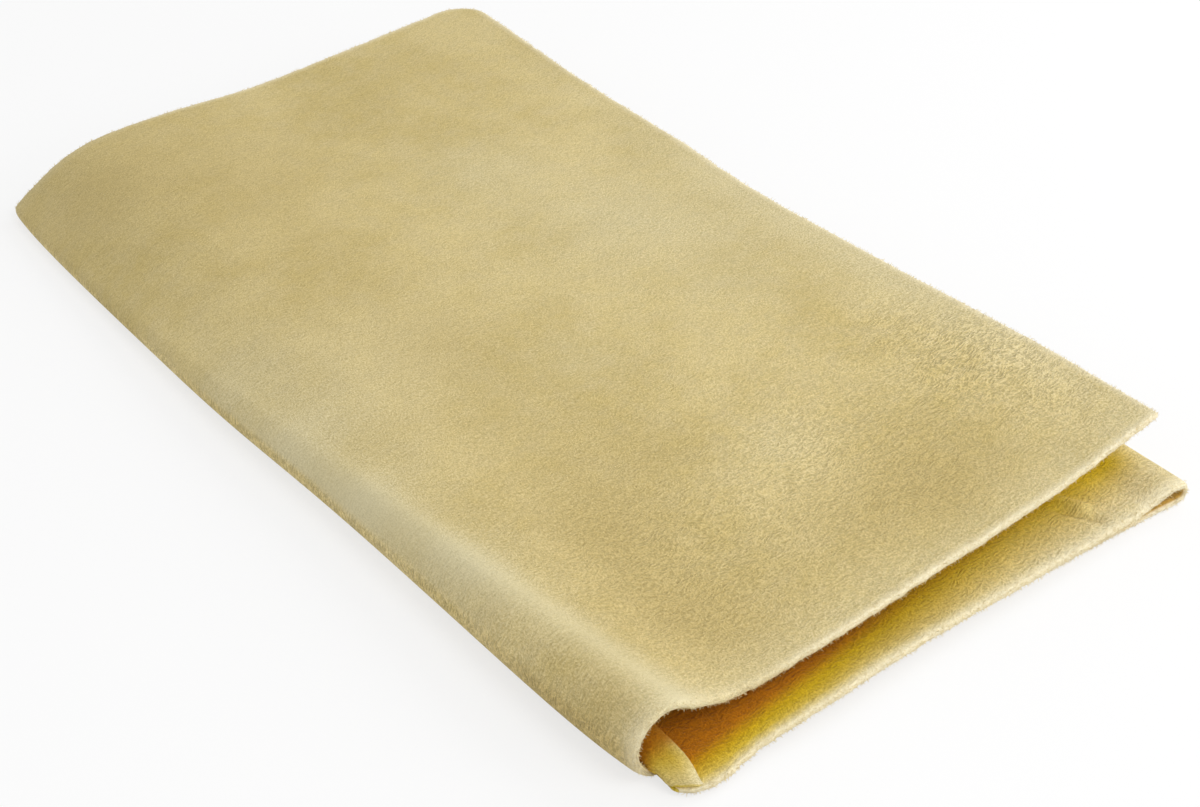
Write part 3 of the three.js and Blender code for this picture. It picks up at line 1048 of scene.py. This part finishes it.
def add_node(tree, kind, inputs, **settings):
    """Adds a node. Each input is a socket to link from, or a value to set."""
    node = tree.nodes.new(kind)
    for name, value in settings.items():
        setattr(node, name, value)
    for key, value in inputs.items():
        if isinstance(value, bpy.types.NodeSocket):
            tree.links.new(value, node.inputs[key])
        else:
            node.inputs[key].default_value = value
    return node


def mix_colours(tree, factor, first, second, blend="MIX"):
    inputs = {0: factor, 6: first, 7: second}
    return add_node(tree, "ShaderNodeMix", inputs, data_type="RGBA", blend_type=blend).outputs[2]


def calculate(tree, operation, first, second=0.0):
    return add_node(tree, "ShaderNodeMath", {0: first, 1: second}, operation=operation).outputs[0]


def remap(tree, value, from_low, from_high, to_low=0, to_high=1):
    inputs = {0: value, 1: from_low, 2: from_high, 3: to_low, 4: to_high}
    return add_node(tree, "ShaderNodeMapRange", inputs, interpolation_type="SMOOTHSTEP").outputs[0]


def noise_texture(tree, vector, size, detail=2.0, roughness=0.5, output="Fac"):
    """Noise with features of about a size in millimetres."""
    inputs = {"Vector": vector, "Scale": 1 / size, "Detail": detail, "Roughness": roughness}
    return add_node(tree, "ShaderNodeTexNoise", inputs).outputs[output]


def vector_maths(tree, operation, first, second):
    return add_node(tree, "ShaderNodeVectorMath", {0: first, 1: second}, operation=operation).outputs[0]


def attribute_value(tree, name):
    return add_node(tree, "ShaderNodeAttribute", {}, attribute_name=name).outputs["Fac"]


def bump(tree, height, strength, rise, below):
    """Normals of bumps that rise by some millimetres, on top of other bumps where there are any below."""
    inputs = {"Strength": strength, "Distance": rise * MM, "Height": height}
    if below is not None:
        inputs["Normal"] = below
    return add_node(tree, "ShaderNodeBump", inputs).outputs["Normal"]


def background_rays(tree):
    """1 for the rays that show the background: to the camera, or by way of gloss or glass."""
    path = add_node(tree, "ShaderNodeLightPath", {}).outputs
    seen = calculate(tree, "MAXIMUM", path["Is Camera Ray"], path["Is Glossy Ray"])
    return calculate(tree, "MAXIMUM", seen, path["Is Transmission Ray"])


def new_material(name):
    material = bpy.data.materials.new(name)
    material.use_nodes = True
    material.node_tree.nodes.clear()
    return material, material.node_tree


# Materials

def leather_material():
    """Napped buff leather: mottled tone, fine nap, pebbled grain at the near end, pale cut edges, and painted
    light and shade.
    """
    material, tree = new_material("chamois_leather")
    place = add_node(tree, "ShaderNodeUVMap", {}, uv_map="skin").outputs["UV"]
    skin = vector_maths(tree, "MULTIPLY", place, (1 / MM, 1 / MM, 1 / MM))
    swirl = noise_texture(tree, skin, SWIRL_SIZE, output="Color")
    centred = vector_maths(tree, "SUBTRACT", swirl, [NOISE_MIDDLE] * 3)
    pull = vector_maths(tree, "MULTIPLY", centred, (SWIRL_PULL, SWIRL_PULL, 0))
    swirled = vector_maths(tree, "ADD", skin, pull)
    combed = vector_maths(tree, "MULTIPLY", swirled, (1 / NAP_WIDTH, 1 / NAP_LENGTH, 1))
    crinkled = vector_maths(tree, "MULTIPLY", swirled, (1 / PEBBLE_LENGTH, 1 / PEBBLE_WIDTH, 1))

    blotches = noise_texture(tree, skin, BLOTCH_SIZE, detail=3, roughness=0.55)
    patches = noise_texture(tree, skin, PATCH_SIZE, detail=4, roughness=0.65)
    nap = noise_texture(tree, combed, 1, roughness=0.6)
    fuzz = noise_texture(tree, skin, FUZZ_SIZE, roughness=0.6)
    crinkles = noise_texture(tree, crinkled, 1, detail=1)
    from_ridge = calculate(tree, "ABSOLUTE", calculate(tree, "SUBTRACT", crinkles, NOISE_MIDDLE))
    raised = calculate(tree, "SUBTRACT", PEBBLE_MIDDLE, from_ridge)
    pebbles = calculate(tree, "MULTIPLY", raised, attribute_value(tree, "pebbled"))

    tone = mix_colours(tree, remap(tree, blotches, *BLOTCH_RANGE), BUFF_DEEP, BUFF_PALE)
    tone = mix_colours(tree, remap(tree, patches, *PATCH_RANGE, 0, PATCH_STRENGTH), tone, BUFF_GREY)
    # Deep tone, mostly painted shade
    tone = mix_colours(tree, attribute_value(tree, "deep"), tone, BUFF_DEEP_AND_SHADE)
    # Paler tone: rubbed places, painted highlights and painted light
    tone = mix_colours(tree, attribute_value(tree, "pale"), tone, BUFF_PALE_AND_HIGHLIGHT)
    napped = attribute_value(tree, "napped")
    # Nap tint: the nap's own tone, with painted shade in the hollows and a painted highlight on the tips
    for height in (nap, fuzz):
        shade = mix_colours(tree, remap(tree, height, *NAP_RANGE), NAP_HOLLOW, NAP_TIP)
        tone = mix_colours(tree, napped, tone, shade, "MULTIPLY")
    # Crinkle tint: painted highlight on the ridges and painted shade between them
    ridge = remap(tree, pebbles, PEBBLE_FOOT, PEBBLE_MIDDLE)
    tone = mix_colours(tree, 1.0, tone, mix_colours(tree, ridge, PEBBLE_HOLLOW, PEBBLE_TIP), "MULTIPLY")
    # Gold: painted shade of the gap, and a deeper gold on the skin's inside
    tone = mix_colours(tree, attribute_value(tree, "golden"), tone, GOLD_TINT, "MULTIPLY")
    # Brown: painted shade of the deepest part of the gap
    tone = mix_colours(tree, attribute_value(tree, "brown"), tone, BROWN_SHADE_TINT, "MULTIPLY")
    edge_tone = mix_colours(tree, remap(tree, fuzz, *EDGE_RANGE), CUT_EDGE_SHADE, CUT_EDGE_PALE)
    tone = mix_colours(tree, attribute_value(tree, "cut_edge"), tone, edge_tone)

    normal = bump(tree, pebbles, *PEBBLE_BUMP, None)
    normal = bump(tree, nap, *NAP_BUMP, normal)
    normal = bump(tree, fuzz, *FUZZ_BUMP, normal)
    roughness = remap(tree, nap, *ROUGHNESS_RANGE, HOLLOW_ROUGHNESS, TIP_ROUGHNESS)
    surface = add_node(tree, "ShaderNodeBsdfPrincipled", {
        "Base Color": tone,
        "Roughness": roughness,
        "Normal": normal,
        "Specular IOR Level": LEATHER_SPECULAR,
        "Sheen Weight": SHEEN,
        "Sheen Roughness": SHEEN_ROUGHNESS,
        "Sheen Tint": SHEEN_TINT,
    })
    add_node(tree, "ShaderNodeOutputMaterial", {"Surface": surface.outputs[0]})
    return material


def fibre_material():
    """Loose pale fibres on the cut edges, each with a tone of its own."""
    material, tree = new_material("edge_fibre")
    tone = mix_colours(tree, attribute_value(tree, "fibre_tone"), FIBRE_SHADE, FIBRE_PALE)
    surface = add_node(tree, "ShaderNodeBsdfPrincipled", {
        "Base Color": tone, "Roughness": FIBRE_ROUGHNESS, "Specular IOR Level": FIBRE_SPECULAR,
    })
    add_node(tree, "ShaderNodeOutputMaterial", {"Surface": surface.outputs[0]})
    return material


def floor_material():
    """White table that keeps the shadow and runs out into the white of the world."""
    material, tree = new_material("white_table")
    place = add_node(tree, "ShaderNodeTexCoord", {}).outputs["Object"]
    distance = add_node(tree, "ShaderNodeVectorMath", {0: place}, operation="LENGTH").outputs["Value"]
    far_away = remap(tree, distance, FLOOR_FADE_START * MM, FLOOR_FADE_END * MM, FLOOR_GLOW, 1)
    glow = calculate(tree, "MULTIPLY", far_away, background_rays(tree))
    table = add_node(tree, "ShaderNodeBsdfDiffuse", {"Color": FLOOR_WHITE})
    white = add_node(tree, "ShaderNodeEmission", {"Color": WHITE, "Strength": 1.0})
    surface = add_node(tree, "ShaderNodeMixShader", {0: glow, 1: table.outputs[0], 2: white.outputs[0]})
    add_node(tree, "ShaderNodeOutputMaterial", {"Surface": surface.outputs[0]})
    return material


# Fibres

def fibre_shape(tree, thickness_share):
    """One curved fibre of unit length, thinner towards its tip."""
    line = add_node(tree, "GeometryNodeCurveQuadraticBezier", {
        "Resolution": FIBRE_STEPS, "Start": (0, 0, 0), "Middle": FIBRE_MIDDLE, "End": FIBRE_TIP,
    }).outputs["Curve"]
    radius = calculate(tree, "MULTIPLY", thickness_share, 0.5)
    ring_inputs = {"Resolution": FIBRE_SIDES, "Radius": radius}
    ring = add_node(tree, "GeometryNodeCurvePrimitiveCircle", ring_inputs).outputs["Curve"]
    place = add_node(tree, "GeometryNodeSplineParameter", {}).outputs["Factor"]
    taper = calculate(tree, "SUBTRACT", 1.0, calculate(tree, "MULTIPLY", place, FIBRE_TAPER))
    tube_inputs = {"Curve": line, "Profile Curve": ring, "Scale": taper, "Fill Caps": True}
    return add_node(tree, "GeometryNodeCurveToMesh", tube_inputs).outputs["Mesh"]


def random_value(tree, low, high, seed, kind="FLOAT"):
    names = ("Min_001", "Max_001") if kind == "FLOAT" else ("Min", "Max")
    node = tree.nodes.new("FunctionNodeRandomValue")
    node.data_type = kind
    sockets = {socket.identifier: socket for socket in node.inputs}
    sockets[names[0]].default_value = low
    sockets[names[1]].default_value = high
    tree.links.new(seed, sockets["Seed"])
    results = {socket.identifier: socket for socket in node.outputs}
    return results["Value_001" if kind == "FLOAT" else "Value"]


def fibre_tree(material):
    """Geometry nodes that set short loose fibres on the cut edges of a sheet, each turned its own way."""
    tree = bpy.data.node_groups.new("edge_fibres", "GeometryNodeTree")
    tree.interface.new_socket("Geometry", in_out="OUTPUT", socket_type="NodeSocketGeometry")
    tree.interface.new_socket("Geometry", in_out="INPUT", socket_type="NodeSocketGeometry")
    for name in ("Density", "Length", "Thickness"):
        tree.interface.new_socket(name, in_out="INPUT", socket_type="NodeSocketFloat")
    tree.interface.new_socket("Seed", in_out="INPUT", socket_type="NodeSocketInt")
    given = add_node(tree, "NodeGroupInput", {}).outputs

    edge = add_node(tree, "GeometryNodeInputNamedAttribute", {"Name": "fringe"}, data_type="FLOAT")
    density = calculate(tree, "MULTIPLY", edge.outputs["Attribute"], given["Density"])
    points = add_node(tree, "GeometryNodeDistributePointsOnFaces", {
        "Mesh": given["Geometry"], "Density": density, "Seed": given["Seed"],
    }, distribute_method="RANDOM").outputs
    least_turn = (-FIBRE_TILT, -FIBRE_TILT, 0)
    most_turn = (FIBRE_TILT, FIBRE_TILT, 2 * math.pi)
    turn = random_value(tree, least_turn, most_turn, given["Seed"], "FLOAT_VECTOR")
    turn = add_node(tree, "FunctionNodeEulerToRotation", {"Euler": turn}).outputs["Rotation"]
    turn = add_node(tree, "FunctionNodeRotateRotation", {
        "Rotation": points["Rotation"], "Rotate By": turn,
    }, rotation_space="LOCAL").outputs["Rotation"]
    share = random_value(tree, FIBRE_SHORTEST, FIBRE_LONGEST, given["Seed"])
    fibre = fibre_shape(tree, calculate(tree, "DIVIDE", given["Thickness"], given["Length"]))
    fibres = add_node(tree, "GeometryNodeInstanceOnPoints", {
        "Points": points["Points"], "Instance": fibre, "Rotation": turn,
        "Scale": calculate(tree, "MULTIPLY", share, given["Length"]),
    }).outputs["Instances"]
    tone = random_value(tree, 0.0, 1.0, given["Seed"])
    fibres = add_node(tree, "GeometryNodeStoreNamedAttribute", {
        "Geometry": fibres, "Name": "fibre_tone", "Value": tone,
    }, data_type="FLOAT", domain="INSTANCE").outputs["Geometry"]
    fibres = add_node(tree, "GeometryNodeRealizeInstances", {"Geometry": fibres}).outputs["Geometry"]
    fibres = add_node(tree, "GeometryNodeSetMaterial", {
        "Geometry": fibres, "Material": material,
    }).outputs["Geometry"]
    add_node(tree, "NodeGroupOutput", {"Geometry": fibres})
    return tree


def edge_fibres(name, sheet, tree, material, seed):
    """Loose fibres on the cut edges of a sheet, as a plain mesh of their own."""
    carrier = add_object(name + "_carrier", sheet.data.copy())
    modifier = carrier.modifiers.new("fibres", "NODES")
    modifier.node_group = tree
    settings = {
        "Density": FIBRE_DENSITY / MM**2,
        "Length": FIBRE_LENGTH * MM,
        "Thickness": FIBRE_THICKNESS * MM,
        "Seed": seed,
    }
    for socket in tree.interface.items_tree:
        if socket.in_out == "INPUT" and socket.name in settings:
            modifier[socket.identifier] = settings[socket.name]
    evaluated = carrier.evaluated_get(bpy.context.evaluated_depsgraph_get())
    mesh = bpy.data.meshes.new_from_object(evaluated)
    mesh.materials.clear()
    mesh.materials.append(material)
    bpy.data.objects.remove(carrier)
    return add_object(name, mesh)


# Stage

def build_floor():
    bpy.ops.mesh.primitive_plane_add(size=FLOOR_SIZE * MM, location=(0, 0, FLOOR_HEIGHT * MM))
    floor = bpy.context.object
    floor.name = "table"
    floor.data.materials.append(floor_material())


def build_world():
    world = bpy.data.worlds.new("studio")
    world.use_nodes = True
    tree = world.node_tree
    tree.nodes.clear()
    strength = remap(tree, background_rays(tree), 0, 1, AMBIENT, 1)
    light = add_node(tree, "ShaderNodeBackground", {"Color": WHITE, "Strength": strength})
    add_node(tree, "ShaderNodeOutputWorld", {"Surface": light.outputs[0]})
    bpy.context.scene.world = world


def add_softbox(name, place, size, power):
    """Square area lamp, aimed at the origin of the part's frame."""
    data = bpy.data.lights.new(name, "AREA")
    data.shape = "SQUARE"
    data.size = size * MM
    data.energy = power
    lamp = add_object(name, data)
    direction = Vector((0, 0, 0)) - Vector(place)
    lamp.location = Vector(place) * MM
    lamp.rotation_euler = direction.to_track_quat("-Z", "Y").to_euler()


def build_camera():
    azimuth, elevation, roll = (math.radians(angle) for angle in CAMERA_ANGLES)
    level = math.cos(elevation)
    back = Vector((math.sin(azimuth) * level, -math.cos(azimuth) * level, math.sin(elevation)))
    right = Vector((math.cos(azimuth), math.sin(azimuth), 0))
    upward = back.cross(right)
    rolled_right = right * math.cos(roll) + upward * math.sin(roll)
    rolled_up = upward * math.cos(roll) - right * math.sin(roll)
    target = Vector(np.array(CAMERA_TARGET) - ORIGIN)
    data = bpy.data.cameras.new("photo_view")
    data.sensor_width = CAMERA_SENSOR
    data.lens = CAMERA_LENS
    camera = add_object("photo_view", data)
    turn = Matrix((rolled_right, rolled_up, back)).transposed().to_4x4()
    camera.matrix_world = Matrix.Translation((target + back * CAMERA_DISTANCE) * MM) @ turn
    bpy.context.scene.camera = camera


def build_stage():
    build_camera()
    build_world()
    build_floor()
    for lamp in SOFTBOXES:
        add_softbox(**lamp)
    bpy.context.scene.view_settings.view_transform = "Standard"


# The leather


def build_leather():
    skin = build_skin()
    shape_skin(skin)
    skin["outward"] = outward_directions(skin["points"])
    mark_wear(skin)
    leather = leather_material()
    top = leather_piece("top_flap_leather", skin, slice(0, skin["spine_seam"] + 1), True, False, leather)
    base = leather_piece(
        "base_leather", skin, slice(skin["spine_seam"], skin["side_seam"] + 1), False, False, leather,
    )
    inner = leather_piece("inner_flap_leather", skin, slice(skin["side_seam"], None), False, True, leather)

    sheets = [top, base, inner]
    fibre = fibre_material()
    tree = fibre_tree(fibre)
    fibres = []
    for seed, sheet in enumerate(sheets):
        fibres.append(edge_fibres(sheet.name + "_fibres", sheet, tree, fibre, seed))

    for piece in (top, fibres[0]):
        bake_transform(piece)
    for piece in (base, fibres[1]):
        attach(piece, "base")
    for piece in (inner, fibres[2]):
        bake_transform(piece)
    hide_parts("top_flap", "spine_fold")
    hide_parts("base_panel")
    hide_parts("side_fold", "inner_flap")


build_stage()
build_leather()
